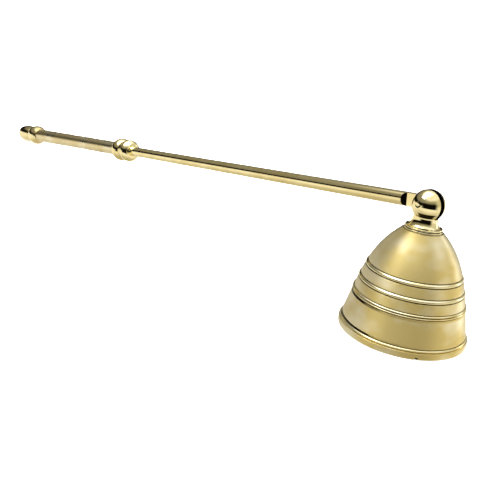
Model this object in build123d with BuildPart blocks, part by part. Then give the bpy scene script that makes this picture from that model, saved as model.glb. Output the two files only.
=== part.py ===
from build123d import *
from math import asin, cos, degrees, radians, sin, sqrt, tan
import os

os.makedirs("parts", exist_ok=True)

# Brass candle snuffer, in millimetres. The origin is the centre of the bell's mouth, on the surface that the
# rim stands on. +Z runs up the bell's axis and the handle points towards -X, down to the same surface.

# Bell, spun from sheet and turned on the outside
rim_radius = 20.5
bell_height = 34.1
bell_wall = 0.9
flare_share = 0.38
crown_power = 4.75
crown_margin = 0.35
height_shares = (0, 0.2, 0.4, 0.6, 0.75, 0.87, 0.95, 1)

# Lip of the bell, and the turned beads above it
lip_height = 2.05
lip_step = 0.1
lip_round = 0.25
lip_bead_height = 2.5
lip_bead_width = 0.86
lower_bead_height = 12.3
middle_bead_height = 16.9
upper_bead_height = 21.35
bead_width = 1.44
bead_proud = 0.26
bead_root = 0.12

# Knuckle: a slotted ball on a neck, a flange and a stud
ball_radius = 5.0
ball_rise = 6.45
neck_radius = 3.95
cove_radius = 1.4
flange_radius = 5.7
flange_thickness = 0.75
round_share = 0.4
slot_width = 2.0
slot_drop = 3.55
stud_radius = 2.0
stud_spare = 0.8
stud_chamfer = 0.4

# Washers and nut on the stud
bore_clearance = 0.1
seat_washer_radius = 5.85
seat_washer_thickness = 0.5
inner_washer_radius = 4.5
inner_washer_thickness = 0.6
nut_across_flats = 7.0
nut_thickness = 2.4
nut_chamfer_angle = 30

# Hinge: the pin through the ball's cheeks and the rod's tongue
pivot_offset = 0.8
pivot_rise = 0.72
pin_radius = 0.8
pin_proud = 0.12
press_clearance = 0.01
running_clearance = 0.04
tongue_side_clearance = 0.08
tongue_flat_length = 6.6
cutter_radius = 1.4

# Rod, which goes on as the core of the grip
rod_radius = 2.25
sleeve_clearance = 0.02
shank_length = 166.6
rod_entry = 6.5

# Front collar: two turned beads with a groove between them
front_bead_length = 5.4
front_bead_radius = 5.3
front_root_radius = 3.2
groove_length = 1.2
groove_radius = 4.4
back_bead_length = 6.4
back_bead_radius = 5.5
back_root_radius = 3.8

# Grip tube, slightly wider at its rear end
grip_length = 89.9
grip_front_radius = 3.3
grip_rear_radius = 3.65

# Rear bead and the end piece
rear_bead_length = 9.4
rear_bead_radius = 5.35
rear_root_radius = 3.95
finial_radius = 4.7
finial_curve_radius = 44.0
finial_crown_place = 6.4
finial_barrel_length = 12.7
end_clearance = 0.3

# One overrun for every cut
overrun = 1.0

# Heights of the stack on the bell's axis
mouth_radius = rim_radius - lip_step
crown_flat_radius = seat_washer_radius + crown_margin
flange_base = bell_height + seat_washer_thickness
flange_top = flange_base + flange_thickness
ball_height = flange_top + ball_rise
neck_top = ball_height - sqrt(ball_radius**2 - neck_radius**2)
pivot_height = ball_height + pivot_rise
inner_washer_base = bell_height - bell_wall - inner_washer_thickness
nut_base = inner_washer_base - nut_thickness
stud_end = nut_base - stud_spare
stud_bore_radius = stud_radius + bore_clearance
sleeve_bore_radius = rod_radius + sleeve_clearance
half_tongue = slot_width / 2 - tongue_side_clearance

# Places along the rod, measured from the pivot
front_bead_end = shank_length + front_bead_length
back_bead_start = front_bead_end + groove_length
collar_end = back_bead_start + back_bead_length
grip_end = collar_end + grip_length
finial_start = grip_end + rear_bead_length
finial_crown = finial_start + finial_crown_place
dome_start = finial_start + finial_barrel_length
rod_end = finial_start + rod_entry


def barrel_radius(place):
    """Radius of the end piece's barrel: an arc of finial_curve_radius whose crown is at finial_crown."""
    return finial_radius - finial_curve_radius + sqrt(finial_curve_radius**2 - (place - finial_crown) ** 2)


# The dome goes on tangent to the barrel and closes square to the rod. It touches the surface that the rim
# stands on, which sets the slope of the handle at rest.
dome_slope = asin((dome_start - finial_crown) / finial_curve_radius)
dome_radius = barrel_radius(dome_start) / cos(dome_slope)
dome_centre = dome_start - dome_radius * sin(dome_slope)
tip = dome_centre + dome_radius
slope = asin((pivot_height - dome_radius) / dome_centre)

pivot = (-pivot_offset, 0, pivot_height)
rod_direction = (-cos(slope), 0, -sin(slope))
rod_up = (-sin(slope), 0, cos(slope))
side_plane = Plane(origin=pivot, x_dir=rod_direction, z_dir=(0, 1, 0))
cross_plane = Plane(origin=pivot, x_dir=(0, 1, 0), z_dir=rod_direction)
flats_plane = Plane(origin=pivot, x_dir=rod_direction, z_dir=rod_up)
rod_axis = Axis(pivot, rod_direction)


def wall_radius(height):
    """Outer radius of the bell's plain wall: a straight flare from the mouth, less a drop that grows as a
    power of the height and rounds the crown over to its flat."""
    rise = height / bell_height
    flare = mouth_radius * flare_share
    crown_drop = mouth_radius - flare - crown_flat_radius
    return mouth_radius - flare * rise - crown_drop * rise**crown_power


def bead_ridges(centre, width, count):
    """Lowest, middle and highest height of each of the ridges that share a band of beading."""
    ridge = width / count
    lows = [centre - width / 2 + ridge * i for i in range(count)]
    return [(low, low + ridge / 2, low + ridge) for low in lows]


# Bell: the plain wall, opened at the mouth
with BuildPart() as bell:
    with BuildSketch(Plane.XZ):
        with BuildLine():
            wall_line = Spline([(wall_radius(bell_height * s), bell_height * s) for s in height_shares])
            Polyline(wall_line @ 1, (0, bell_height), (0, 0), wall_line @ 0)
        make_face()
    revolve()
    offset(amount=-bell_wall, openings=bell.faces().sort_by(Axis.Z)[0])

    # Lip round the mouth, with rounded edges
    with BuildSketch(Plane.XZ) as lip:
        with BuildLine():
            Polyline(
                (mouth_radius - bell_wall / 2, 0),
                (rim_radius, 0),
                (rim_radius, lip_height),
                (wall_radius(lip_height) - bell_wall / 2, lip_height),
                close=True,
            )
        make_face()
        fillet(lip.vertices().group_by(Axis.X)[-1], lip_round)
    revolve()

    # Beading: the ridge above the lip, a double bead and two single ones
    ridges = (
        bead_ridges(lip_bead_height, lip_bead_width, 1)
        + bead_ridges(lower_bead_height, bead_width, 2)
        + bead_ridges(middle_bead_height, bead_width, 1)
        + bead_ridges(upper_bead_height, bead_width, 1)
    )
    for low, middle, high in ridges:
        with BuildSketch(Plane.XZ):
            with BuildLine():
                crown = ThreePointArc(
                    (wall_radius(low) - bead_root, low),
                    (wall_radius(middle) + bead_proud, middle),
                    (wall_radius(high) - bead_root, high),
                )
                Line(crown @ 1, crown @ 0)
            make_face()
        revolve()

    # Hole for the stud in the crown
    Hole(radius=stud_bore_radius)
bell.part.label = "bell"

# Knuckle: stud, flange, coved neck and ball in one turned piece
with BuildPart() as knuckle:
    with BuildSketch(Plane.XZ) as turned:
        with BuildLine():
            Polyline(
                (0, stud_end),
                (stud_radius - stud_chamfer, stud_end),
                (stud_radius, stud_end + stud_chamfer),
                (stud_radius, flange_base),
                (flange_radius, flange_base),
                (flange_radius, flange_top),
                (neck_radius + cove_radius, flange_top),
            )
            CenterArc((neck_radius + cove_radius, flange_top + cove_radius), cove_radius, 270, -90)
            Line((neck_radius, flange_top + cove_radius), (neck_radius, neck_top))
            ThreePointArc((neck_radius, neck_top), (ball_radius, ball_height), (0, ball_height + ball_radius))
            Line((0, ball_height + ball_radius), (0, stud_end))
        make_face()
        fillet(turned.vertices().group_by(Axis.X)[-1], flange_thickness * round_share)
    revolve()

    # Slot for the rod's tongue, open at the top and at both ends
    with BuildSketch(Plane.XY.offset(ball_height - slot_drop)):
        Rectangle(2 * (ball_radius + overrun), slot_width)
    extrude(amount=slot_drop + ball_radius + overrun, mode=Mode.SUBTRACT)

    # Pin hole through both cheeks
    with BuildSketch(side_plane):
        Circle(pin_radius + press_clearance)
    extrude(amount=ball_radius + overrun, both=True, mode=Mode.SUBTRACT)
knuckle.part.label = "knuckle"

# Thin ring between the flange and the bell's crown
with BuildPart() as seat_washer:
    with BuildSketch(Plane.XY.offset(bell_height)):
        Circle(seat_washer_radius)
        Circle(stud_bore_radius, mode=Mode.SUBTRACT)
    extrude(amount=seat_washer_thickness)
    circles = seat_washer.edges().filter_by(GeomType.CIRCLE)
    fillet(circles.group_by(SortBy.RADIUS)[-1], seat_washer_thickness * round_share)
seat_washer.part.label = "seat_washer"

# Plain washer under the crown
with BuildPart() as inner_washer:
    with BuildSketch(Plane.XY.offset(inner_washer_base)):
        Circle(inner_washer_radius)
        Circle(stud_bore_radius, mode=Mode.SUBTRACT)
    extrude(amount=inner_washer_thickness)
inner_washer.part.label = "inner_washer"

# Hexagon nut, its corners turned off at both faces
nut_corner = nut_across_flats / 2 / cos(radians(30))
nut_bevel = (nut_corner - nut_across_flats / 2) * tan(radians(nut_chamfer_angle))
with BuildPart() as hex_nut:
    with BuildSketch(Plane.XY.offset(nut_base)):
        RegularPolygon(nut_across_flats / 2, 6, major_radius=False)
    extrude(amount=nut_thickness)
    with BuildSketch(Plane.XZ) as blank:
        with BuildLine():
            Polyline(
                (stud_bore_radius, nut_base),
                (nut_across_flats / 2, nut_base),
                (nut_corner, nut_base + nut_bevel),
                (nut_corner, inner_washer_base - nut_bevel),
                (nut_across_flats / 2, inner_washer_base),
                (stud_bore_radius, inner_washer_base),
                close=True,
            )
        make_face()
    revolve(mode=Mode.INTERSECT)
hex_nut.part.label = "hex_nut"

# Rivet: its two ends stand a little proud and follow the ball
with BuildPart() as pivot_pin:
    with BuildSketch(side_plane):
        Circle(pin_radius)
    extrude(amount=ball_radius + overrun, both=True)
    with Locations((0, 0, ball_height)):
        Sphere(ball_radius + pin_proud, mode=Mode.INTERSECT)
pivot_pin.part.label = "pivot_pin"

# Rod: a round bar with a tongue milled from its front end
with BuildPart() as rod:
    with BuildSketch(cross_plane):
        Circle(rod_radius)
    extrude(amount=rod_end)
    with BuildSketch(flats_plane):
        with BuildLine():
            Line((-overrun, half_tongue), (tongue_flat_length, half_tongue))
            run_out = CenterArc((tongue_flat_length, half_tongue + cutter_radius), cutter_radius, -90, 90)
            Polyline(
                run_out @ 1,
                (tongue_flat_length + cutter_radius, rod_radius + cutter_radius),
                (-overrun, rod_radius + cutter_radius),
                (-overrun, half_tongue),
            )
        make_face()
        mirror(about=Plane.XZ)
    extrude(amount=rod_radius + overrun, both=True, mode=Mode.SUBTRACT)
    with BuildSketch(side_plane):
        Circle(rod_radius)
    extrude(amount=half_tongue, both=True)
    with BuildSketch(side_plane):
        Circle(pin_radius + running_clearance)
    extrude(amount=rod_radius, both=True, mode=Mode.SUBTRACT)
rod.part.label = "rod"

# Front collar: two beads on a common core
with BuildPart() as front_collar:
    with BuildSketch(side_plane):
        with BuildLine():
            front_crown = ThreePointArc(
                (shank_length, front_root_radius),
                (shank_length + front_bead_length / 2, front_bead_radius),
                (front_bead_end, front_root_radius),
            )
            Polyline(
                front_crown @ 1,
                (front_bead_end, sleeve_bore_radius),
                (shank_length, sleeve_bore_radius),
                front_crown @ 0,
            )
        make_face()
        with BuildLine():
            Polyline(
                (shank_length + front_bead_length / 2, sleeve_bore_radius),
                (shank_length + front_bead_length / 2, groove_radius),
                (back_bead_start, groove_radius),
                (back_bead_start, sleeve_bore_radius),
                close=True,
            )
        make_face()
        with BuildLine():
            back_crown = ThreePointArc(
                (back_bead_start, groove_radius),
                (back_bead_start + back_bead_length / 2, back_bead_radius),
                (collar_end, back_root_radius),
            )
            Polyline(
                back_crown @ 1,
                (collar_end, sleeve_bore_radius),
                (back_bead_start, sleeve_bore_radius),
                back_crown @ 0,
            )
        make_face()
    revolve(axis=rod_axis)
front_collar.part.label = "front_collar"

# Grip tube: a sleeve that widens towards the rear
with BuildPart() as grip_tube:
    with BuildSketch(side_plane):
        with BuildLine():
            Polyline(
                (collar_end, sleeve_bore_radius),
                (collar_end, grip_front_radius),
                (grip_end, grip_rear_radius),
                (grip_end, sleeve_bore_radius),
                close=True,
            )
        make_face()
    revolve(axis=rod_axis)
grip_tube.part.label = "grip_tube"

# Rear bead
with BuildPart() as rear_bead:
    with BuildSketch(side_plane):
        with BuildLine():
            rear_crown = ThreePointArc(
                (grip_end, rear_root_radius),
                (grip_end + rear_bead_length / 2, rear_bead_radius),
                (finial_start, rear_root_radius),
            )
            Polyline(
                rear_crown @ 1,
                (finial_start, sleeve_bore_radius),
                (grip_end, sleeve_bore_radius),
                rear_crown @ 0,
            )
        make_face()
    revolve(axis=rod_axis)
rear_bead.part.label = "rear_bead"

# End piece: a gentle barrel and a dome, bored blind for the end of the rod
with BuildPart() as end_finial:
    with BuildSketch(side_plane):
        with BuildLine():
            barrel = ThreePointArc(
                (finial_start, barrel_radius(finial_start)),
                (finial_crown, finial_radius),
                (dome_start, barrel_radius(dome_start)),
            )
            CenterArc((dome_centre, 0), dome_radius, 90 - degrees(dome_slope), degrees(dome_slope) - 90)
            Polyline(
                (tip, 0),
                (rod_end + end_clearance, 0),
                (rod_end + end_clearance, sleeve_bore_radius),
                (finial_start, sleeve_bore_radius),
                barrel @ 0,
            )
        make_face()
    revolve(axis=rod_axis)
end_finial.part.label = "end_finial"

export_step(bell.part, "parts/bell.step")
export_step(knuckle.part, "parts/knuckle.step")
export_step(seat_washer.part, "parts/seat_washer.step")
export_step(inner_washer.part, "parts/inner_washer.step")
export_step(hex_nut.part, "parts/hex_nut.step")
export_step(pivot_pin.part, "parts/pivot_pin.step")
export_step(rod.part, "parts/rod.step")
export_step(front_collar.part, "parts/front_collar.step")
export_step(grip_tube.part, "parts/grip_tube.step")
export_step(rear_bead.part, "parts/rear_bead.step")
export_step(end_finial.part, "parts/end_finial.step")
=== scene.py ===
"""Looks of a hinged brass candle snuffer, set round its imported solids.

A spun and satin-turned bell stands on its rim. A polished knuckle on its crown holds the tongue of a long
round rod, whose far end carries a turned grip. Sizes are in millimetres in the object's own frame: the origin
is the centre of the bell's mouth, +Z is up the bell's axis and the handle points towards -X.
"""

import logging
import math
from dataclasses import dataclass
from enum import Enum
from typing import Callable

import bpy
import numpy as np
from mathutils import Euler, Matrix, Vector


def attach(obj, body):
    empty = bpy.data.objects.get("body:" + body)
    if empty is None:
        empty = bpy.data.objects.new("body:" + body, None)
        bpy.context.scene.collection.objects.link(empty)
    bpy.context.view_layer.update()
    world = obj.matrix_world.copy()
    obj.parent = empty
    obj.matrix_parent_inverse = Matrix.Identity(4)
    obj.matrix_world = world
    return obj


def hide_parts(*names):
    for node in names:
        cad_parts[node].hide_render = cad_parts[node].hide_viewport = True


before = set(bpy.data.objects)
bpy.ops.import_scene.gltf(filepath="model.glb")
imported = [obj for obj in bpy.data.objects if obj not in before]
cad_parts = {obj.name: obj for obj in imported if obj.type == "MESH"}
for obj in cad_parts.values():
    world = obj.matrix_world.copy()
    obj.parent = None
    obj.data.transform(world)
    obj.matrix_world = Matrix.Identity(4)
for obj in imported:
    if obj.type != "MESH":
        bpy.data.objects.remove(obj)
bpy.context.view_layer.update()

MM = 0.001
TURNED_EDGE = 40.0
MILLED_EDGE = 30.0
Array = np.ndarray
Pair = tuple[float, float]
Triple = tuple[float, float, float]
Piece = bpy.types.Object
Tree = bpy.types.NodeTree
Socket = bpy.types.NodeSocket
Stops = tuple[tuple[float, str], ...]
Faces = list[list[int]]
Reshape = Callable[[Array, Array, Array], tuple[Array, Array]]
log = logging.getLogger("candle_snuffer")


def linear(hex_colour: str) -> tuple[float, float, float, float]:
    """Turns an sRGB hex colour into a linear one with full opacity.

    Args:
        hex_colour: Six hexadecimal digits after a hash sign.

    Returns:
        Linear red, green and blue, and 1 for opacity.
    """
    parts = [int(hex_colour[i : i + 2], 16) / 255 for i in (1, 3, 5)]
    red, green, blue = (c / 12.92 if c <= 0.04045 else ((c + 0.055) / 1.055) ** 2.4 for c in parts)
    return red, green, blue, 1.0


def feed(tree: Tree, node: bpy.types.Node, values: dict) -> None:
    """Feeds a node's inputs from other nodes or with plain values.

    Args:
        tree: The node tree.
        node: The node.
        values: For each input, by name or number, the output socket that feeds it, or its value.
    """
    for name, value in values.items():
        if isinstance(value, Socket):
            tree.links.new(value, node.inputs[name])
        else:
            node.inputs[name].default_value = value


def add_node(tree: Tree, kind: str, values: dict | None = None, **settings: object) -> bpy.types.Node:
    """Adds one node to a tree, with its inputs and its settings.

    Args:
        tree: The node tree.
        kind: The node's type name, after ShaderNode.
        values: What feeds its inputs, as in feed.
        settings: Attributes of the node and their values.

    Returns:
        The new node.
    """
    node = tree.nodes.new(f"ShaderNode{kind}")
    for name, value in settings.items():
        setattr(node, name, value)
    feed(tree, node, values or {})
    return node


def add_noise(tree: Tree, place: Socket, cells: Triple, detail: float) -> Socket:
    """Adds noise whose grain differs by direction.

    Args:
        tree: The node tree.
        place: Coordinates in metres.
        cells: Grains to the metre in each direction.
        detail: Number of finer layers.

    Returns:
        The noise, from 0 to 1.
    """
    spread = add_node(tree, "Mapping", {"Vector": place, "Scale": cells}).outputs[0]
    return add_node(tree, "TexNoise", {"Vector": spread, "Scale": 1.0, "Detail": detail}).outputs[0]


def add_ramp(tree: Tree, place: Socket, stops: Stops) -> Socket:
    """Adds a colour ramp.

    Args:
        tree: The node tree.
        place: Place on the ramp, from 0 to 1.
        stops: Place and sRGB hex colour of each stop, in rising order.

    Returns:
        The colour.
    """
    node = add_node(tree, "ValToRGB", {"Fac": place})
    elements = node.color_ramp.elements
    while len(elements) < len(stops):
        elements.new(1.0)
    for element, (stop, colour) in zip(elements, stops):
        element.position = stop
        element.color = linear(colour)
    return node.outputs[0]


@dataclass(frozen=True)
class TurnedBrass:
    """Brass as a lathe and a polishing mop leave it: fine lines, and broad soft clouds where the cut or the
    polish changed.

    Lines have a spacing and a depth, and clouds a size and a height. A painted shade side is a bearing round
    the bell's axis, how much the deep tone gains there as painted shade, and the part of the way to it where
    that begins.
    """

    name: str
    pale: str
    deep: str
    roughness: Pair
    lines: Pair
    clouds: Pair
    anisotropy: float = 0.0
    painted_shade_side: Triple = (0.0, 0.0, 0.0)
    cloud_squash: float = 1.5
    tone_range: Pair = (0.36, 0.62)
    roughness_range: Pair = (0.3, 0.7)
    line_drift: float = 50.0

    def build(self) -> bpy.types.Material:
        """Makes the material, with its patterns on Object coordinates.

        The clouds mix the two tones, once the painted shade side's share times the cosine of the angle
        between a place's bearing and its own is added, so that side is painted darker as shade. The lines are
        noise that changes almost only with the height.

        Returns:
            The material.
        """
        material = bpy.data.materials.new(self.name)
        material.use_nodes = True
        tree = material.node_tree
        place = add_node(tree, "TexCoord").outputs["Object"]
        cells = 1 / (self.clouds[0] * MM)
        clouds = add_noise(tree, place, (cells, cells, self.cloud_squash * cells), 2.0)

        # Painted shade: the deep tone gains on the side that this bearing points to
        bearing, share = math.radians(self.painted_shade_side[0]), self.painted_shade_side[1]
        painted_shade_side = (share * math.cos(bearing), share * math.sin(bearing), 0)
        level = add_node(tree, "VectorMath", {0: place, 1: (1, 1, 0)}, operation="MULTIPLY").outputs[0]
        outwards = add_node(tree, "VectorMath", {0: level}, operation="NORMALIZE").outputs[0]
        gain = add_node(tree, "VectorMath", {0: outwards, 1: painted_shade_side}, operation="DOT_PRODUCT")
        painted_shade_clouds = add_node(tree, "Math", {0: clouds, 1: gain.outputs["Value"]}, operation="ADD").outputs[0]
        low, high = (edge + share * self.painted_shade_side[2] for edge in self.tone_range)
        spread = add_node(tree, "MapRange", {"Value": painted_shade_clouds, "From Min": low, "From Max": high})
        tones = {"Factor": spread.outputs[0], "A": linear(self.pale), "B": linear(self.deep)}
        tone = add_node(tree, "Mix", tones, data_type="RGBA")

        names = ("From Min", "From Max", "To Min", "To Max")
        limits = dict(zip(names, self.roughness_range + self.roughness))
        roughness = add_node(tree, "MapRange", {"Value": clouds} | limits)

        drift = 1 / (self.line_drift * MM)
        lines = add_noise(tree, place, (drift, drift, 1 / (self.lines[0] * MM)), 1.0)
        score = {"Height": lines, "Strength": 1.0, "Distance": self.lines[1] * MM}
        scored = add_node(tree, "Bump", score).outputs[0]
        wave = {"Height": clouds, "Normal": scored, "Strength": 1.0, "Distance": self.clouds[1] * MM}
        waved = add_node(tree, "Bump", wave)

        shader = tree.nodes["Principled BSDF"]
        feed(tree, shader, {
            "Base Color": tone.outputs["Result"], "Metallic": 1.0, "Roughness": roughness.outputs[0],
            "Normal": waved.outputs[0], "Anisotropic": self.anisotropy,
        })
        if self.anisotropy:
            # A quarter turn draws the highlights out across the turning lines
            tangent = add_node(tree, "Tangent", direction_type="RADIAL", axis="Z").outputs[0]
            feed(tree, shader, {"Anisotropic Rotation": 0.25, "Tangent": tangent})
        return material


class Finish(Enum):
    """The finishes of the snuffer's pieces.

    Lines finer than a pixel are drawn coarser, so that they show. They run nearly along the rod and grip.
    """

    # Brass sheet, spun and turned to satin: pale gold, with highlights that run down the bell, and painted
    # shade that makes it duller and more olive at the front
    SATIN_OUTSIDE = TurnedBrass(
        "satin_turned_brass", "#FDF3D0", "#EDD994", (0.50, 0.60), lines=(0.5, 0.008), clouds=(11.0, 0.2),
        anisotropy=0.85, painted_shade_side=(-50.0, 0.36, 0.65),
    )
    # Bead crowns burnished with a hard tool: narrow bright lines round the bell
    BURNISHED_BEAD = TurnedBrass(
        "burnished_brass_bead", "#F4EBC6", "#E6D69E", (0.18, 0.24), lines=(0.35, 0.001), clouds=(9.0, 0.05)
    )
    # Painted shade in the grooves and crevices: thin brown lines that go black towards the left
    GROOVE_PAINTED_SHADE = TurnedBrass(
        "brass_groove_painted_shade", "#75663F", "#1C150A", (0.35, 0.45), lines=(0.35, 0.004),
        clouds=(5.0, 0.05), painted_shade_side=(-131.0, 0.4, 0.65),
    )
    # Satin brass with painted shade in a corner: a thick dark line at the left that runs out
    CORNER_PAINTED_SHADE = TurnedBrass(
        "satin_brass_painted_shade_in_corner", "#EDD994", "#2A2010", (0.5, 0.6), lines=(0.35, 0.004),
        clouds=(6.0, 0.1), painted_shade_side=(-146.0, 1.6, 0.56),
    )
    # Brass sheet as it left the spinning chuck: a browner gold with wide dull rings
    SPUN_INSIDE = TurnedBrass(
        "spun_brass_inside", "#CDBB84", "#A98D4C", (0.42, 0.55), lines=(0.8, 0.02), clouds=(9.0, 0.2)
    )
    # Solid brass, turned and buffed: a mirror with a tint of gold
    POLISHED = TurnedBrass(
        "polished_brass", "#F5EABC", "#EADAA2", (0.06, 0.10), lines=(0.25, 0.0005), clouds=(8.0, 0.02)
    )
    # Drawn brass bar, buffed: a slightly soft mirror
    POLISHED_BAR = TurnedBrass(
        "polished_brass_bar", "#F6EABA", "#ECDCA6", (0.10, 0.16), lines=(0.5, 0.001), clouds=(14.0, 0.02)
    )
    # Drawn brass tube, worn by the hand: greyer than the bar, with softer highlights
    WORN_TUBE = TurnedBrass(
        "polished_brass_tube", "#EBE0BE", "#DCCB9A", (0.24, 0.30), lines=(0.5, 0.001), clouds=(14.0, 0.02)
    )
    # Buffed brass with painted shade under the ball: a dark brown patch at the front
    NECK_PAINTED_SHADE = TurnedBrass(
        "polished_brass_painted_shade_under_ball", "#F5EABC", "#2A2210", (0.08, 0.14), lines=(0.25, 0.0005),
        clouds=(3.0, 0.02), painted_shade_side=(-57.0, 2.4, 0.84),
    )
    # Sawn and filed brass of the slot and other hollows, painted nearly black as shade wherever no light
    # reaches
    PAINTED_SHADE_BLACK = TurnedBrass(
        "brass_painted_shade_black", "#1E1A10", "#12100A", (0.5, 0.6), lines=(0.4, 0.01), clouds=(3.0, 0.02)
    )
    # Machined brass of the washer and nut inside: an even yellow with fine tool lines
    MACHINED = TurnedBrass(
        "machined_brass", "#CDB673", "#B89A52", (0.25, 0.35), lines=(0.3, 0.006), clouds=(4.0, 0.02)
    )


@dataclass(frozen=True)
class Axle:
    """A line that a piece is turned on, with two directions square to it."""

    origin: Triple
    along: Triple
    across: Triple

    def place(self, along: Array, across: Array, third: Array) -> Array:
        """Puts points from the axle's own three directions into the object's frame.

        Each point is the origin, plus its three distances along the axle, the across direction and the
        cross product of the two.

        Args:
            along: Distances along the axle.
            across: Distances in the across direction.
            third: Distances in the third direction.

        Returns:
            Points, with x, y and z in the last place of the array.
        """
        first, second = np.array(self.along), np.array(self.across)
        directions = (first, second, np.cross(first, second))
        parts = (np.asarray(d)[..., None] * v for d, v in zip((along, across, third), directions))
        return np.array(self.origin) + sum(parts)


def arc(centre: Pair, radius: float, start: float, end: float, steps: int) -> Array:
    """Points on a circle's arc: the centre plus the radius times the cosine and sine of each angle.

    Args:
        centre: Centre of the circle.
        radius: Its radius.
        start: First angle in degrees.
        end: Last angle in degrees.
        steps: Number of spans.

    Returns:
        Points, one row each.
    """
    angles = np.radians(np.linspace(start, end, steps + 1))
    return np.array(centre) + radius * np.column_stack((np.cos(angles), np.sin(angles)))


def crowned(start: Pair, top: float, end: Pair, steps: int) -> Array:
    """Points on the arc that goes from start to end through a top halfway between them.

    The arc's centre is where the lines that are square to its two chords, at their middles, cross.

    Args:
        start: First point, as place and radius.
        top: Radius at the middle of the two places.
        end: Last point, as place and radius.
        steps: Number of spans.

    Returns:
        Points, one row each.
    """
    a, b, c = (np.array(p, float) for p in (start, ((start[0] + end[0]) / 2, top), end))
    chords = np.array([b - a, c - b])
    centre = np.linalg.solve(chords, (chords * np.array([a + b, b + c]) / 2).sum(axis=1))
    first, last = (math.degrees(math.atan2(*(p - centre)[::-1])) for p in (a, c))
    return arc(tuple(centre), float(np.hypot(*(a - centre))), first, last, steps)


def rounded(corners: list[Triple], steps: int = 6) -> Array:
    """Points of an open outline whose corners are rounded by arcs.

    At each corner the arc touches both sides: it starts and ends at the radius over the tangent of half
    the corner's angle from the corner, and its points turn evenly from one side's normal to the other's.

    Args:
        corners: Two places and a round's radius for each corner. A radius of 0 keeps the corner.
        steps: Number of spans in each round.

    Returns:
        Points, one row each.
    """
    points = np.array([c[:2] for c in corners], float)
    made = [points[:1]]
    for i in range(1, len(corners) - 1):
        radius = corners[i][2]
        if not radius:
            made.append(points[i : i + 1])
            continue
        back, onward = (p / np.hypot(*p) for p in (points[i - 1] - points[i], points[i + 1] - points[i]))
        half = math.acos(float(np.clip(back @ onward, -1, 1))) / 2
        middle = (back + onward) / np.hypot(*(back + onward))
        centre = points[i] + middle * radius / math.sin(half)
        first = points[i] + back * radius / math.tan(half) - centre
        last = points[i] + onward * radius / math.tan(half) - centre
        share = np.linspace(0, 1, steps + 1)[:, None]
        turn = math.pi - 2 * half
        arms = (np.sin((1 - share) * turn) * first + np.sin(share * turn) * last) / math.sin(turn)
        made.append(centre + arms)
    made.append(points[-1:])
    return np.concatenate(made)


def lathe(outline: Array, axle: Axle, segments: int, reshape: Reshape | None = None) -> tuple[Array, Faces]:
    """Turns an outline round an axle.

    Each point of the outline, a place along the axle and a radius, goes round at even angles, so the grid
    is place and radius times the cosine and sine of the angle. An outline that begins on the axle also
    ends on it, and any other closes on itself.

    Args:
        outline: Place and radius of each point.
        axle: The line to turn on.
        segments: Number of spans round the axle.
        reshape: Takes places, radii and angles as grids and returns new places and radii.

    Returns:
        Points, and faces as four numbers of points, where a face at the axle has one number twice.
    """
    angles = np.linspace(0, 2 * math.pi, segments, endpoint=False)
    places, turns = np.meshgrid(outline[:, 0], angles, indexing="ij")
    radii = np.repeat(outline[:, 1:2], segments, axis=1)
    if reshape:
        places, radii = reshape(places, radii, turns)
    points = axle.place(places, radii * np.cos(turns), radii * np.sin(turns)).reshape(-1, 3)
    numbers = np.arange(len(points)).reshape(len(outline), segments)
    on_axle = outline[:, 1] == 0
    numbers[on_axle] = numbers[on_axle][:, :1]
    if not on_axle[0]:
        numbers = np.vstack((numbers, numbers[:1]))
    beside = np.roll(numbers, -1, axis=1)
    faces = np.stack((numbers[:-1], beside[:-1], beside[1:], numbers[1:]), axis=-1).reshape(-1, 4)
    return points, faces.tolist()


def extruded(outline: Array, axle: Axle, half_length: float) -> tuple[Array, Faces]:
    """Draws a closed outline out to both sides of the plane of the axle's first two directions.

    Args:
        outline: Points of the closed outline.
        axle: The plane's directions.
        half_length: Distance to each side.

    Returns:
        Points and faces.
    """
    count = len(outline)
    sides = np.repeat([[-half_length], [half_length]], count, axis=1)
    points = axle.place(*(np.tile(outline[:, i], (2, 1)) for i in (0, 1)), sides).reshape(-1, 3)
    low = np.arange(count)
    walls = np.column_stack((low, np.roll(low, -1), np.roll(low, -1) + count, low + count)).tolist()
    return points, walls + [low[::-1].tolist(), (low + count).tolist()]


def new_piece(name: str, points: Array, faces: Faces) -> Piece:
    """Makes a mesh object at the origin, with its place in its mesh.

    Args:
        name: Name of the piece.
        points: Points in millimetres.
        faces: Numbers of points for each face.

    Returns:
        The object, linked to the scene.
    """
    rows = [list(dict.fromkeys(face)) for face in faces]
    used, packed = np.unique(np.concatenate([np.array(r) for r in rows]), return_inverse=True)
    ends = np.cumsum([len(r) for r in rows])[:-1]
    mesh = bpy.data.meshes.new(name)
    mesh.from_pydata((points[used] * MM).tolist(), [], [part.tolist() for part in np.split(packed, ends)])
    piece = bpy.data.objects.new(name, mesh)
    bpy.context.scene.collection.objects.link(piece)
    return piece


def number_faces(piece: Piece, numbers: Array) -> None:
    """Sets the number of each face's material."""
    piece.data.polygons.foreach_set("material_index", numbers.astype(np.int32))


def paint_band(piece: Piece, low: float, high: float, number: int) -> None:
    """Gives the faces whose middles lie between two heights another of the piece's materials.

    Args:
        piece: The object.
        low: Lower height.
        high: Upper height.
        number: Number of the material.
    """
    polygons = piece.data.polygons
    middles = np.empty(3 * len(polygons), np.float32)
    polygons.foreach_get("center", middles)
    heights = middles[2::3].astype(float)
    numbers = np.empty(len(polygons), np.int32)
    polygons.foreach_get("material_index", numbers)
    numbers[(heights > low * MM) & (heights < high * MM)] = number
    number_faces(piece, numbers)


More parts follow.
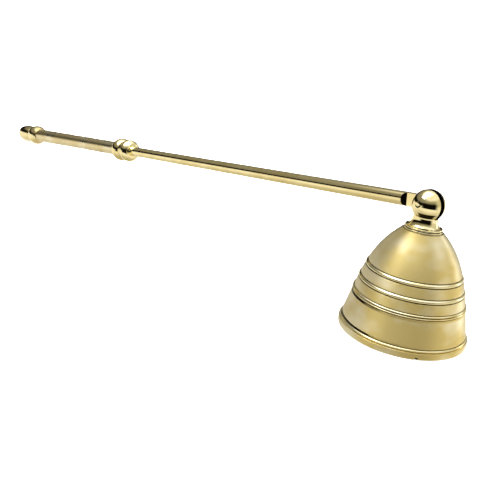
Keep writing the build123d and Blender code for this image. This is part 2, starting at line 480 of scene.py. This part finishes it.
def face_outwards(piece: Piece, sharp_angle: float = TURNED_EDGE) -> None:
    """Points a closed piece's faces outwards and shades it smooth, apart from its sharp edges.

    Args:
        piece: The object.
        sharp_angle: Angle in degrees past which an edge stays sharp.
    """
    bpy.context.view_layer.objects.active = piece
    bpy.ops.object.select_all(action="DESELECT")
    piece.select_set(True)
    bpy.ops.object.mode_set(mode="EDIT")
    bpy.ops.mesh.select_all(action="SELECT")
    bpy.ops.mesh.normals_make_consistent(inside=False)
    bpy.ops.object.mode_set(mode="OBJECT")
    piece.data.shade_smooth()
    piece.data.set_sharp_from_angle(angle=math.radians(sharp_angle))


def cut(blank: Piece, *tools: Piece) -> None:
    """Mills a blank: takes each tool's shape out of it and removes the tool.

    The faces that a tool leaves keep the tool's material.

    Args:
        blank: The piece that is cut.
        tools: Closed shapes.
    """
    for tool in tools:
        face_outwards(tool)
        step = blank.modifiers.new(tool.name, "BOOLEAN")
        step.operation = "DIFFERENCE"
        step.solver = "EXACT"
        step.material_mode = "TRANSFER"
        step.object = tool
    bpy.context.view_layer.update()
    milled = bpy.data.meshes.new_from_object(blank.evaluated_get(bpy.context.evaluated_depsgraph_get()))
    milled.name = blank.name
    blank.modifiers.clear()
    blank.data = milled
    for tool in tools:
        bpy.data.objects.remove(tool)


class Workshop:
    """Dresses pieces in their finishes and ties them to their bodies."""

    def __init__(self) -> None:
        """Makes each finish's material once."""
        self.materials = {finish: finish.value.build() for finish in Finish}

    def dress(self, piece: Piece, slot: str | None, *finishes: Finish) -> None:
        """Gives a piece or a cutter its materials.

        Args:
            piece: The object.
            slot: Not used.
            finishes: Finishes in the order of the material numbers.
        """
        piece.data.materials.clear()
        for finish in finishes:
            piece.data.materials.append(self.materials[finish])

    def fit(self, piece: Piece, body: str, node: str) -> None:
        """Lets a piece stand for a node and ride on its body, and reports it.

        Args:
            piece: The object.
            body: Name of the body.
            node: Name of the node.
        """
        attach(piece, body)
        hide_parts(node)
        log.info("%s: %d faces, rides on %s", piece.name, len(piece.data.polygons), body)


BELL_BODY = "bell_body"
HANDLE_BODY = "handle"
UPRIGHT = Axle((0, 0, 0), (0, 0, 1), (1, 0, 0))
BELL_FINISHES = (
    Finish.SATIN_OUTSIDE, Finish.SPUN_INSIDE, Finish.GROOVE_PAINTED_SHADE, Finish.BURNISHED_BEAD, Finish.PAINTED_SHADE_BLACK,
    Finish.CORNER_PAINTED_SHADE,
)
SATIN, INSIDE, GROOVE, CROWN, DARK, CORNER_SHADE = range(len(BELL_FINISHES))


@dataclass
class Bell:
    """The spun bell: a flared wall whose crown rounds over, a lip, and three turned bands of beading.

    Each bead has a height and a width, and the first is the lip's. Up to its mark the nick is painted dark as
    shade.
    """

    shop: Workshop
    rim_radius: float = 20.5
    height: float = 34.1
    wall: float = 0.9
    flare_share: float = 0.38
    crown_power: float = 4.75
    crown_flat_radius: float = 6.2
    crown_round: float = 0.4
    hole_radius: float = 2.1
    lip_height: float = 2.05
    lip_step: float = 0.1
    lip_round: float = 0.25
    beads: tuple[Pair, ...] = ((2.5, 0.86), (11.94, 0.68), (12.62, 0.68), (16.84, 1.24), (21.28, 1.24))
    bead_proud: float = 0.26
    groove_depth: float = 0.22
    groove_run: float = 0.2
    groove_shade_depth: float = 0.05
    corner_shade_width: float = 0.7
    ring_radius: float = 5.85
    plain_step: float = 0.32
    bead_step: float = 0.06
    inside_rows: int = 60
    nick_angle: float = -42.0
    nick_width: float = 0.35
    nick_height: float = 0.3
    nick_mark: float = 0.75
    segments: int = 320

    def wall_radius(self, height: Array) -> Array:
        """Outer radius of the plain wall at each height.

        It is the mouth's radius, less a straight flare, less a drop that grows as a power of the height
        and rounds the crown over.

        Args:
            height: Heights above the rim.

        Returns:
            Radii.
        """
        mouth = self.rim_radius - self.lip_step
        rise = height / self.height
        flare = mouth * self.flare_share
        drop = mouth - flare - self.crown_flat_radius
        return mouth - flare * rise - drop * rise**self.crown_power

    def beading(self, height: Array) -> Array:
        """How far the beading stands out of the plain wall at each height.

        Across its width a bead is a parabola from its groove to its crown and back. Outside it, the groove
        runs out in a straight slope.

        Args:
            height: Heights above the rim.

        Returns:
            Distances, below zero in a groove.
        """
        out = np.zeros_like(height)
        for centre, width in self.beads:
            place = np.abs(height - centre) / (width / 2)
            crown = (self.bead_proud + self.groove_depth) * (1 - place**2) - self.groove_depth
            slope = self.groove_depth * ((place - 1) * width / 2 / self.groove_run - 1)
            out += np.where(place < 1, crown, np.minimum(slope, 0))
        return out

    def outline(self) -> tuple[Array, int]:
        """The bell's closed section, from the hole over the outside and the rim to the inside.

        Returns:
            Height and radius of each point, and how many of them lie on the outside.
        """
        crown_top = self.height - self.crown_round
        plain = np.arange(self.lip_height + self.beads[0][1], crown_top, self.plain_step)
        beaded = [
            np.arange(c - w / 2 - self.groove_run, c + w / 2 + self.groove_run, self.bead_step)
            for c, w in self.beads
        ]
        heights = np.unique(np.concatenate([plain, *beaded]).round(4))
        heights = heights[heights > self.lip_height]
        outside = np.column_stack((heights, self.wall_radius(heights) + self.beading(heights)))[::-1]
        crown = rounded(
            [(self.height, self.hole_radius, 0), (self.height, self.crown_flat_radius, self.crown_round),
             (outside[0, 0], outside[0, 1], 0)]
        )[:-1]
        inner = self.rim_radius - self.wall
        lip = rounded(
            [(self.lip_height, inner, 0), (self.lip_height, self.rim_radius, self.lip_round),
             (self.nick_mark, self.rim_radius, 0), (0, self.rim_radius, self.lip_round), (0, inner, 0)]
        )[1:-1]
        section = np.concatenate((crown, outside, lip, self.inside()))
        return section, len(crown) + len(outside) + len(lip)

    def inside(self) -> Array:
        """The inner side of the section: the plain wall moved in by its thickness, square to itself, up to
        the flat under the crown.

        Returns:
            Height and radius of each point, from the mouth to the hole.
        """
        heights = np.linspace(0, self.height, self.inside_rows)
        radii = self.wall_radius(heights)
        slopes = np.gradient(radii, heights)
        lengths = np.hypot(1, slopes)
        inner_heights = heights + self.wall * slopes / lengths
        inner_radii = radii - self.wall / lengths
        ceiling = self.height - self.wall
        between = (inner_heights > 0) & (inner_heights < ceiling)
        places = np.concatenate(([0.0], inner_heights[between], [ceiling]))
        side = np.column_stack((places, np.interp(places, inner_heights, inner_radii)))
        return np.concatenate((side, [[ceiling, self.hole_radius]]))

    def nick(self, places: Array, radii: Array, turns: Array) -> tuple[Array, Array]:
        """Lifts the rim a little at one spot, as a knock leaves it.

        The lift falls off as a bell curve of the distance along the rim, and as a straight line with the
        height above it.

        Args:
            places: Heights.
            radii: Radii.
            turns: Angles round the axis.

        Returns:
            New heights and the same radii.
        """
        distance = (turns - math.radians(self.nick_angle % 360)) * self.rim_radius
        fade = np.clip(1 - places / (2 * self.nick_height), 0, 1)
        return places + self.nick_height * np.exp(-((distance / self.nick_width) ** 2)) * fade, radii

    def skins(self, outline: Array, outside_count: int) -> Array:
        """Chooses a material for each face by the height of its middle.

        The outside is painted dark as shade beside the ring and at the nick, and darker as painted shade in
        the grooves and in the corners beside the two lowest beads; it is burnished on the beads, and else
        satin.

        Args:
            outline: Height and radius of each point of the section.
            outside_count: How many of them lie on the outside.

        Returns:
            Each face's material number, row by row.
        """
        middles = (outline[:, 0] + np.roll(outline[:, 0], -1)) / 2
        radii = outline[:, 1]
        # Painted shade in the crevice beside the ring
        beside_ring = (radii > self.ring_radius - self.wall) & (radii < self.crown_flat_radius)
        beside_ring &= middles > self.height - self.wall / 2
        # Painted shade in the grooves, where they sink deeper than a set depth
        grooved = self.beading(middles) < -self.groove_shade_depth
        grooved &= middles > self.lip_height + self.groove_shade_depth
        # Painted shade in the corners above the lip's bead and below the lowest band's bead
        (lip, lip_width), (lowest, lowest_width) = self.beads[:2]
        corners = (lip + (lip_width + self.corner_shade_width) / 2, lowest - (lowest_width + self.corner_shade_width) / 2)
        shaded_corners = np.any([np.abs(middles - c) < self.corner_shade_width / 2 for c in corners], axis=0)
        beaded = np.any([np.abs(middles - c) < w / 2 for c, w in self.beads], axis=0)
        numbers = np.select([beside_ring, grooved, shaded_corners, beaded], [DARK, GROOVE, CORNER_SHADE, CROWN], SATIN)
        numbers[outside_count:] = INSIDE
        grid = np.repeat(numbers[:, None], self.segments, axis=1)
        turns = np.arange(self.segments) / self.segments * 360
        away = np.abs(np.radians(turns - self.nick_angle % 360)) * self.rim_radius
        # Painted shade at the nick, under the lifted rim
        grid[np.ix_(middles < self.nick_mark, away < self.nick_width)] = DARK
        return grid.ravel()

    def build(self) -> None:
        """Makes the bell and dresses its outside and its inside."""
        outline, outside_count = self.outline()
        bell = new_piece("bell_turned", *lathe(outline, UPRIGHT, self.segments, self.nick))
        self.shop.dress(bell, "satin_brass", *BELL_FINISHES)
        number_faces(bell, self.skins(outline, outside_count))
        face_outwards(bell)
        self.shop.fit(bell, BELL_BODY, "bell")


@dataclass
class Knuckle:
    """The slotted ball with its flared neck, its flange, its threaded stud, and what the stud clamps."""

    shop: Workshop
    bell: Bell
    hinge: "Hinge"
    ball_radius: float = 5.0
    ball_height: float = 41.8
    neck_radius: float = 3.76
    neck_fillet: float = 0.9
    flange_radius: float = 5.7
    flange_base: float = 34.6
    flange_top: float = 35.35
    flange_round: float = 0.3
    slot_width: float = 2.0
    slot_drop: float = 3.55
    stud_radius: float = 2.0
    stud_end: float = 29.4
    stud_chamfer: float = 0.4
    thread_pitch: float = 0.7
    thread_depth: float = 0.38
    thread_top: float = 33.0
    rows_per_pitch: int = 10
    ring_round: float = 0.2
    ring_dark: float = 0.24
    neck_shade_band: Pair = (38.5, 39.9)
    flare_rows: int = 25
    fillet_spans: int = 10
    ball_spans: int = 72
    overrun: float = 1.0
    segments: int = 224

    def outline(self) -> Array:
        """The turned blank's section, from the stud's end to the top of the ball.

        The neck's foot is a quarter of an ellipse: its radius grows by the flare's width times 1 less the
        root of 1 less the square of the fall. A fillet that touches the neck and the ball joins the two.

        Returns:
            Height and radius of each point.
        """
        chamfer_top = self.stud_end + self.stud_chamfer
        threads = np.arange(chamfer_top, self.thread_top, self.thread_pitch / self.rows_per_pitch)
        stud = np.column_stack((threads, np.full_like(threads, self.stud_radius)))
        flange = rounded(
            [(self.thread_top, self.stud_radius, 0), (self.flange_base, self.stud_radius, 0),
             (self.flange_base, self.flange_radius, self.flange_round),
             (self.flange_top, self.flange_radius, self.flange_round),
             (self.flange_top, self.flange_radius - 2 * self.flange_round, 0)]
        )
        rim = self.flange_radius - self.flange_round
        fillet_radius = self.neck_radius + self.neck_fillet
        reach = self.ball_radius + self.neck_fillet
        neck_height = self.ball_height - math.sqrt(reach**2 - fillet_radius**2)
        fall = np.linspace(1, 0, self.flare_rows)
        flare = np.column_stack(
            (neck_height - fall * (neck_height - self.flange_top),
             self.neck_radius + (rim - self.neck_radius) * (1 - np.sqrt(1 - fall**2)))
        )
        turn = math.degrees(math.acos((self.ball_height - neck_height) / reach))
        fillet = arc((neck_height, fillet_radius), self.neck_fillet, -90, -turn, self.fillet_spans)
        ball = arc((self.ball_height, 0), self.ball_radius, 180 - turn, 0, self.ball_spans)
        ball[-1, 1] = 0.0
        start = [(self.stud_end, 0.0), (self.stud_end, self.stud_radius - self.stud_chamfer)]
        return np.concatenate((start, stud, flange[:-1], flare[:-1], fillet[:-1], ball))

    def thread(self, places: Array, radii: Array, turns: Array) -> tuple[Array, Array]:
        """Cuts the stud's screw thread.

        The cut follows a helix: its depth is a triangle wave of the height in pitches less the angle in
        turns.

        Args:
            places: Heights.
            radii: Radii.
            turns: Angles round the axis.

        Returns:
            The same heights and new radii.
        """
        phase = (places / self.thread_pitch - turns / (2 * math.pi)) % 1.0
        depth = self.thread_depth * (1 - np.abs(2 * phase - 1))
        threaded = (places < self.thread_top) & (radii > self.stud_radius / 2)
        return places, np.where(threaded, radii - depth, radii)

    def slot_cutter(self) -> Piece:
        """Makes the saw's cut: a block from the slot's floor to above the ball.

        Returns:
            The cutter.
        """
        floor = self.ball_height - self.slot_drop
        top = self.ball_height + self.ball_radius + self.overrun
        half = self.slot_width / 2
        section = np.array([(floor, -half), (floor, half), (top, half), (top, -half)])
        sideways = Axle((0, 0, 0), (0, 0, 1), (0, 1, 0))
        return new_piece("slot_cutter", *extruded(section, sideways, 2 * self.ball_radius))

    def build_ball(self) -> None:
        """Makes the knuckle: a turned blank, slotted and countersunk for the rivet."""
        ball = new_piece("knuckle_ball", *lathe(self.outline(), UPRIGHT, self.segments, self.thread))
        cutters = (self.slot_cutter(), *self.hinge.seat_cutters())
        self.shop.dress(ball, "polished_brass", Finish.POLISHED, Finish.PAINTED_SHADE_BLACK, Finish.NECK_PAINTED_SHADE)
        # Painted shade: black round the flange's lower edge, where it sits on the ring
        paint_band(ball, self.flange_base - self.flange_round, self.flange_base + self.flange_round, 1)
        # Painted shade: a dark patch on the front of the neck under the ball
        paint_band(ball, *self.neck_shade_band, 2)
        # The slot and the countersinks are painted black as shade
        for cutter in cutters:
            self.shop.dress(cutter, None, Finish.PAINTED_SHADE_BLACK)
        cut(ball, *cutters)
        face_outwards(ball, MILLED_EDGE)
        self.shop.fit(ball, BELL_BODY, "knuckle")

    def build_ring(self) -> None:
        """Makes the ring between the bell's crown and the flange, with painted shade where it meets the
        crown.
        """
        base, radius, bore = self.bell.height, self.bell.ring_radius, self.bell.hole_radius
        outline = rounded(
            [(base, (bore + radius) / 2, 0), (base, radius, self.ring_round),
             (self.flange_base, radius, self.ring_round), (self.flange_base, bore, 0), (base, bore, 0)]
        )
        ring = new_piece("seat_ring", *lathe(outline, UPRIGHT, self.segments))
        self.shop.dress(ring, "polished_brass", Finish.POLISHED, Finish.GROOVE_PAINTED_SHADE)
        # Painted shade along the ring's foot, where it meets the crown
        paint_band(ring, base, base + self.ring_dark, 1)
        face_outwards(ring)
        self.shop.fit(ring, BELL_BODY, "seat_washer")

    def build(self) -> None:
        """Makes the knuckle and the ring under its flange, and dresses the washer and nut inside."""
        self.build_ball()
        self.build_ring()
        for node in ("inner_washer", "hex_nut"):
            self.shop.dress(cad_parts[node], "plain_brass", Finish.MACHINED)
            log.info("%s: dressed as it is", node)


@dataclass
class Hinge:
    """The rivet through the ball's cheeks, and the rod with the tongue that turns on it."""

    shop: Workshop
    pivot_offset: float = 0.8
    pivot_height: float = 42.52
    slope: float = 7.549
    pin_radius: float = 0.8
    pin_reach: float = 5.0
    pin_dome: float = 0.16
    seat_radius: float = 1.2
    seat_depth: float = 0.35
    cheek_reach: float = 4.88
    rod_radius: float = 2.25
    half_tongue: float = 0.92
    tongue_flat_length: float = 6.6
    cutter_radius: float = 1.4
    rod_end: float = 285.4
    row_length: float = 2.5
    overrun: float = 1.0
    segments: int = 96
    pin_segments: int = 48
    arc_spans: int = 16
    nose_spans: int = 40

    @property
    def pivot(self) -> Triple:
        """Centre of the rivet."""
        return (-self.pivot_offset, 0.0, self.pivot_height)

    @property
    def rod_axle(self) -> Axle:
        """The rod's centre line from the rivet towards the grip, with its upper side across."""
        lean = math.radians(self.slope)
        return Axle(self.pivot, (-math.cos(lean), 0, -math.sin(lean)), (-math.sin(lean), 0, math.cos(lean)))

    @property
    def pin_axle(self) -> Axle:
        """The rivet's centre line."""
        return Axle(self.pivot, (0, 1, 0), (0, 0, 1))

    def seat_cutters(self) -> list[Piece]:
        """Makes a ring-shaped cutter for the small countersink round each end of the rivet.

        Returns:
            Two cutters.
        """
        made = []
        for side in (-1, 1):
            floor = side * (self.cheek_reach - self.seat_depth)
            mouth = side * (self.cheek_reach + self.overrun)
            outline = np.array(
                [(floor, self.pin_radius / 2), (floor, self.pin_radius),
                 (mouth, self.seat_radius + self.overrun), (mouth, self.pin_radius / 2)]
            )
            made.append(new_piece(f"seat_cutter_{side}", *lathe(outline, self.pin_axle, self.pin_segments)))
        return made

    def build_pin(self) -> None:
        """Makes the rivet, whose two ends are slightly domed."""
        edge = self.pin_reach - self.pin_dome
        dome = crowned((0, edge), self.pin_reach, (2 * self.pin_radius, edge), self.arc_spans)
        dome = dome[self.arc_spans // 2 :]
        end = np.column_stack((dome[:, 1], dome[:, 0] - self.pin_radius))
        end[0, 1] = 0.0
        outline = np.concatenate((end, (end * (-1, 1))[::-1]))
        pin = new_piece("rivet", *lathe(outline, self.pin_axle, self.pin_segments))
        self.shop.dress(pin, "polished_brass", Finish.POLISHED)
        face_outwards(pin)
        self.shop.fit(pin, BELL_BODY, "pivot_pin")

    def tongue_cutters(self) -> list[Piece]:
        """Makes what the mill takes off the rod's end: two cheeks, whose far walls run out round the cutter's
        radius and are painted dark as shade, and the corners round the nose.

        Returns:
            Three cutters.
        """
        far = self.rod_radius + 2 * self.overrun
        centre = (self.tongue_flat_length, self.half_tongue + self.cutter_radius)
        run_out = arc(centre, self.cutter_radius, -90, 0, self.arc_spans)
        cheek = np.concatenate(([(-far, self.half_tongue)], run_out, [(run_out[-1, 0], far), (-far, far)]))
        nose = np.concatenate(
            ([(0, far), (-far, far), (-far, -far), (0, -far)],
             arc((0, 0), self.rod_radius, -90, -270, self.nose_spans))
        )
        axle = self.rod_axle
        flat = Axle(axle.origin, axle.along, (0, 1, 0))
        cutters = [
            new_piece("flat_cutter_left", *extruded(cheek, flat, far)),
            new_piece("flat_cutter_right", *extruded(cheek * (1, -1), flat, far)),
            new_piece("nose_cutter", *extruded(nose, axle, far)),
        ]
        for cutter in cutters:
            self.shop.dress(cutter, None, Finish.POLISHED_BAR, Finish.PAINTED_SHADE_BLACK)
        # The run-out walls are painted black as shade
        walls = np.arange(len(cheek) + 2)
        for cutter in cutters[:2]:
            number_faces(cutter, (walls > 0) & (walls <= len(run_out)))
        return cutters

    def build_rod(self) -> None:
        """Makes the rod: a turned bar, milled to a tongue with a round nose."""
        rows = np.append(np.arange(-self.rod_radius, self.rod_end, self.row_length), self.rod_end)
        side = np.column_stack((rows, np.full_like(rows, self.rod_radius)))
        outline = np.concatenate(([[rows[0], 0.0]], side, [[rows[-1], 0.0]]))
        rod = new_piece("rod_bar", *lathe(outline, self.rod_axle, self.segments))
        face_outwards(rod)
        self.shop.dress(rod, "polished_brass", Finish.POLISHED_BAR)
        cut(rod, *self.tongue_cutters())
        face_outwards(rod, MILLED_EDGE)
        self.shop.fit(rod, HANDLE_BODY, "rod")


@dataclass
class Grip:
    """The turned grip: a double-beaded collar, a tapered tube, a fat bead and a rounded end piece."""

    shop: Workshop
    hinge: Hinge
    bore_radius: float = 2.27
    shank_length: float = 166.6
    front_bead: Triple = (5.4, 5.3, 3.2)
    groove: Pair = (1.2, 4.4)
    back_bead: Triple = (6.4, 5.5, 3.8)
    tube_length: float = 89.9
    tube_radii: Pair = (3.3, 3.65)
    rear_bead: Triple = (9.4, 5.35, 3.95)
    finial_radius: float = 4.7
    finial_curve_radius: float = 44.0
    finial_crown_place: float = 6.4
    finial_barrel_length: float = 12.7
    bead_spans: int = 40
    tube_rows: int = 60
    barrel_spans: int = 24
    segments: int = 128

    def turn(self, name: str, node: str, outline: Array, finish: Finish = Finish.POLISHED_BAR) -> None:
        """Turns one piece of the grip on the rod's axle and dresses it.

        Args:
            name: Name of the piece.
            node: The node that it stands for.
            outline: Place from the rivet and radius of each point, for a sleeve without its bore.
            finish: Its finish.
        """
        if outline[-1, 1] > 0:
            bore = np.array([(outline[-1, 0], self.bore_radius), (outline[0, 0], self.bore_radius)])
            outline = np.concatenate((outline, bore))
        piece = new_piece(name, *lathe(outline, self.hinge.rod_axle, self.segments))
        self.shop.dress(piece, "polished_brass", finish)
        face_outwards(piece)
        self.shop.fit(piece, HANDLE_BODY, node)

    def bead(self, start: float, sizes: Triple, front: float | None = None) -> Array:
        """One bead's outline: an arc from its root over its crown to its root.

        Args:
            start: Place where it begins.
            sizes: Its length, crown radius and root radius.
            front: Root radius at its start, where that differs.

        Returns:
            Place and radius of each point.
        """
        length, crown, root = sizes
        return crowned((start, front or root), crown, (start + length, root), self.bead_spans)

    def build(self) -> None:
        """Makes the four pieces. The groove's floor cuts off the tail of the collar's front bead."""
        front = self.bead(self.shank_length, self.front_bead)
        middle = self.shank_length + self.front_bead[0] / 2
        groove_width, groove_radius = self.groove
        front = front[(front[:, 0] <= middle) | (front[:, 1] >= groove_radius)]
        back_start = self.shank_length + self.front_bead[0] + groove_width
        back = self.bead(back_start, self.back_bead, groove_radius)
        self.turn("collar_beads", "front_collar", np.concatenate((front, back)))

        tube_start = back_start + self.back_bead[0]
        tube_end = tube_start + self.tube_length
        places = np.linspace(tube_start, tube_end, self.tube_rows)
        radii = np.interp(places, (tube_start, tube_end), self.tube_radii)
        self.turn("grip_sleeve", "grip_tube", np.column_stack((places, radii)), Finish.WORN_TUBE)

        self.turn("rear_bead_turned", "rear_bead", self.bead(tube_end, self.rear_bead))
        self.build_finial(tube_end + self.rear_bead[0])

    def build_finial(self, start: float) -> None:
        """Makes the end piece: a barrel that is an arc of a large circle, closed by a dome that touches it.

        Args:
            start: Place where it begins.
        """
        crown = start + self.finial_crown_place
        curve = self.finial_curve_radius
        lean = math.asin((self.finial_barrel_length - self.finial_crown_place) / curve)
        first = math.degrees(math.asin(self.finial_crown_place / curve))
        last = 90 - math.degrees(lean)
        barrel = arc((crown, self.finial_radius - curve), curve, 90 + first, last, self.barrel_spans)
        dome_radius = barrel[-1, 1] / math.cos(lean)
        centre = barrel[-1, 0] - dome_radius * math.sin(lean)
        dome = arc((centre, 0), dome_radius, last, 0, self.bead_spans)[1:]
        dome[-1, 1] = 0.0
        outline = np.concatenate(([(start, 0.0), (start, self.bore_radius)], barrel, dome))
        self.turn("end_piece", "end_finial", outline)


@dataclass(frozen=True)
class Wall:
    """One side of the room: its bearing from the camera's in degrees, the dot products between which it
    fades in, and its tones from straight down to straight up."""

    turn: float
    reach: Pair
    stops: Stops


@dataclass(frozen=True)
class Softbox:
    """A soft rectangular light: its centre, the point that it faces, its width and height, its watts, and
    the full angle in degrees that a grid in front of it leaves open."""

    name: str
    place: Triple
    target: Triple
    size: Pair
    power: float
    spread: float = 180.0

    def build(self) -> None:
        """Hangs the light, out of the camera's sight."""
        light = bpy.data.lights.new(self.name, "AREA")
        light.shape = "RECTANGLE"
        light.size, light.size_y = (s * MM for s in self.size)
        light.energy = self.power
        light.spread = math.radians(self.spread)
        softbox = bpy.data.objects.new(self.name, light)
        softbox.location = [p * MM for p in self.place]
        facing = Vector(self.target) - Vector(self.place)
        softbox.rotation_euler = facing.to_track_quat("-Z", "Y").to_euler()
        softbox.visible_camera = False
        bpy.context.scene.collection.objects.link(softbox)


@dataclass
class Studio:
    """A white table in a plain room, with one soft light overhead, one at the left like a window, a tall one
    behind on the right, and one with a grid that reaches the grip alone."""

    camera_place: Triple = (103.066, -170.162, 87.967)
    camera_angles: Triple = (70.572, 0.0, 46.288)
    camera_roll: float = 7.42
    focal_length: float = 46.8
    sensor_width: float = 36.0
    clip_range: Pair = (10.0, 10000.0)
    table_width: float = 6000.0
    table_glow: float = 0.8
    room_strength: float = 1.2
    around: Stops = (
        (0.0, "#B8B09A"), (0.12, "#C4BCA6"), (0.32, "#F2EDDF"), (0.485, "#F2EDDF"), (0.505, "#14120C"),
        (0.625, "#14120C"), (0.66, "#7A766A"), (0.84, "#8E8A7C"), (0.885, "#FFFFFF"),
    )
    walls: tuple[Wall, ...] = (
        Wall(95.0, (0.3, 0.7), (
            (0.0, "#B8B09A"), (0.12, "#C4BCA6"), (0.32, "#F2EDDF"), (0.5, "#F2EDDF"), (0.55, "#CFC9B5"),
            (0.8, "#CFC9B5"), (0.87, "#FFFFFF"),
        )),
        Wall(9.0, (0.42, 0.76), (
            (0.0, "#C4BDA8"), (0.12, "#D6CFBB"), (0.28, "#F6F1E6"), (0.365, "#F6F1E6"), (0.395, "#0C0B08"),
            (0.65, "#0C0B08"), (0.70, "#7A7666"), (0.79, "#A09C8A"), (0.88, "#FFFFFF"),
        )),
    )
    softboxes: tuple[Softbox, ...] = (
        Softbox("overhead", (-170, 0, 700), (-170, 0, 0), (500, 500), 1.4),
        Softbox("window_left", (-252, -337, 599), (0, 0, 40), (340, 250), 0.95),
        Softbox("tall_right", (250, 650, 120), (0, 0, 20), (90, 420), 0.4),
        Softbox("gridded_over_grip", (-40, 7, 281), (-200, 0, 18), (170, 200), 0.8, 34.0),
    )

    def build_room(self) -> None:
        """Makes the room that the brass reflects. What the camera itself sees of it is white.

        The room's tone follows the height of a direction, and each wall is mixed in by how far the
        direction points towards it, which is their dot product.
        """
        world = bpy.data.worlds.new("studio_room")
        bpy.context.scene.world = world
        world.use_nodes = True
        tree = world.node_tree
        tree.nodes.clear()
        direction = add_node(tree, "TexCoord").outputs["Generated"]
        height = add_node(tree, "SeparateXYZ", {"Vector": direction}).outputs["Z"]
        limits = {"Value": height, "From Min": -1.0, "From Max": 1.0}
        place = add_node(tree, "MapRange", limits).outputs[0]
        tone = add_ramp(tree, place, self.around)
        camera_bearing = math.atan2(self.camera_place[1], self.camera_place[0])
        for wall in self.walls:
            bearing = camera_bearing + math.radians(wall.turn)
            sides = {0: direction, 1: (math.cos(bearing), math.sin(bearing), 0.0)}
            side = add_node(tree, "VectorMath", sides, operation="DOT_PRODUCT").outputs["Value"]
            limits = {"Value": side, "From Min": wall.reach[0], "From Max": wall.reach[1]}
            share = add_node(tree, "MapRange", limits).outputs[0]
            tones = {"Factor": share, "A": tone, "B": add_ramp(tree, place, wall.stops)}
            tone = add_node(tree, "Mix", tones, data_type="RGBA").outputs["Result"]
        seen = add_node(tree, "LightPath").outputs["Is Camera Ray"]
        tones = {"Factor": seen, "A": tone, "B": (1, 1, 1, 1)}
        room = add_node(tree, "Mix", tones, data_type="RGBA").outputs["Result"]
        back = add_node(tree, "Background", {"Color": room, "Strength": self.room_strength})
        add_node(tree, "OutputWorld", {"Surface": back.outputs[0]})

    def build_table(self) -> None:
        """Makes the white table, lit from within so that only a faint shadow is left on it."""
        half = self.table_width / 2
        corners = half * np.array([(-1, -1, 0), (1, -1, 0), (1, 1, 0), (-1, 1, 0)])
        table = new_piece("white_table", corners, [[0, 1, 2, 3]])

        # White acrylic sheet with a matt face: an even white with no reflection
        material = bpy.data.materials.new("white_table_acrylic")
        material.use_nodes = True
        feed(material.node_tree, material.node_tree.nodes["Principled BSDF"], {
            "Base Color": linear("#F2F2F2"), "Roughness": 0.9, "Specular IOR Level": 0.0,
            "Emission Color": (1, 1, 1, 1), "Emission Strength": self.table_glow,
        })
        table.data.materials.append(material)
        table.visible_glossy = False

    def build_camera(self) -> None:
        """Sets the camera where the photograph was taken from, turned about its own line of sight last."""
        data = bpy.data.cameras.new("camera")
        data.lens, data.sensor_width = self.focal_length, self.sensor_width
        camera = bpy.data.objects.new("camera", data)
        camera.location = [p * MM for p in self.camera_place]
        aim = Euler([math.radians(a) for a in self.camera_angles]).to_matrix()
        roll = Euler((0, 0, math.radians(self.camera_roll))).to_matrix()
        camera.rotation_euler = (aim @ roll).to_euler()
        data.clip_start, data.clip_end = (c * MM for c in self.clip_range)
        bpy.context.scene.collection.objects.link(camera)
        bpy.context.scene.camera = camera

    def build(self) -> None:
        """Makes the room, the table, the lights and the camera."""
        self.build_room()
        self.build_table()
        for softbox in self.softboxes:
            softbox.build()
        self.build_camera()
        view = bpy.context.scene.view_settings
        view.view_transform = "Standard"
        view.look = "None"


def main() -> None:
    """Builds the snuffer round its frame, then the studio."""
    logging.basicConfig(level=logging.INFO, format="%(message)s")
    shop = Workshop()
    bell, hinge = Bell(shop), Hinge(shop)
    bell.build()
    Knuckle(shop, bell, hinge).build()
    hinge.build_pin()
    hinge.build_rod()
    Grip(shop, hinge).build()
    Studio().build()


if __name__ == "__main__":
    main()
